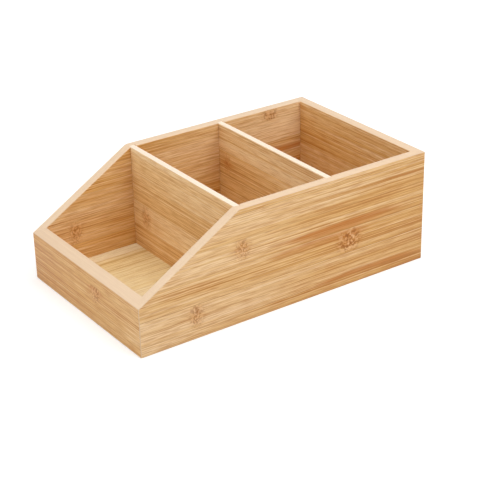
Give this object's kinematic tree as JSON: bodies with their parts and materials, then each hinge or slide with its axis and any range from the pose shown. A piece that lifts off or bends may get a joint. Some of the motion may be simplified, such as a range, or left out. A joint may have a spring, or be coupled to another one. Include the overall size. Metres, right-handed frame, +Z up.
{
  "type": "storage box",
  "caption": "Open-topped rectangular bamboo box with a low front, side walls that slope up from it to a level rim, and fixed full-width dividers that part it into bays.",
  "frame": {"origin": "on the surface that the box stands on, under the middle of its outer length and width", "axes": "+Z up, +Y along the length from the low front to the high back, +X across to the side that is on the right when the box is seen from its low front"},
  "size_m": [0.1524, 0.254, 0.0889],
  "materials": {
    "wall_bamboo": "satin clear lacquer on sanded bamboo",
    "floor_bamboo": "satin clear lacquer on sanded bamboo",
    "divider_bamboo": "satin clear lacquer on sanded bamboo"
  },
  "bodies": {
    "root": {"left_wall": "wall_bamboo", "right_wall": "wall_bamboo", "front_wall": "wall_bamboo", "back_wall": "wall_bamboo", "floor_panel": "floor_bamboo", "front_divider": "divider_bamboo", "rear_divider": "divider_bamboo"}
  },
  "joints": []
}
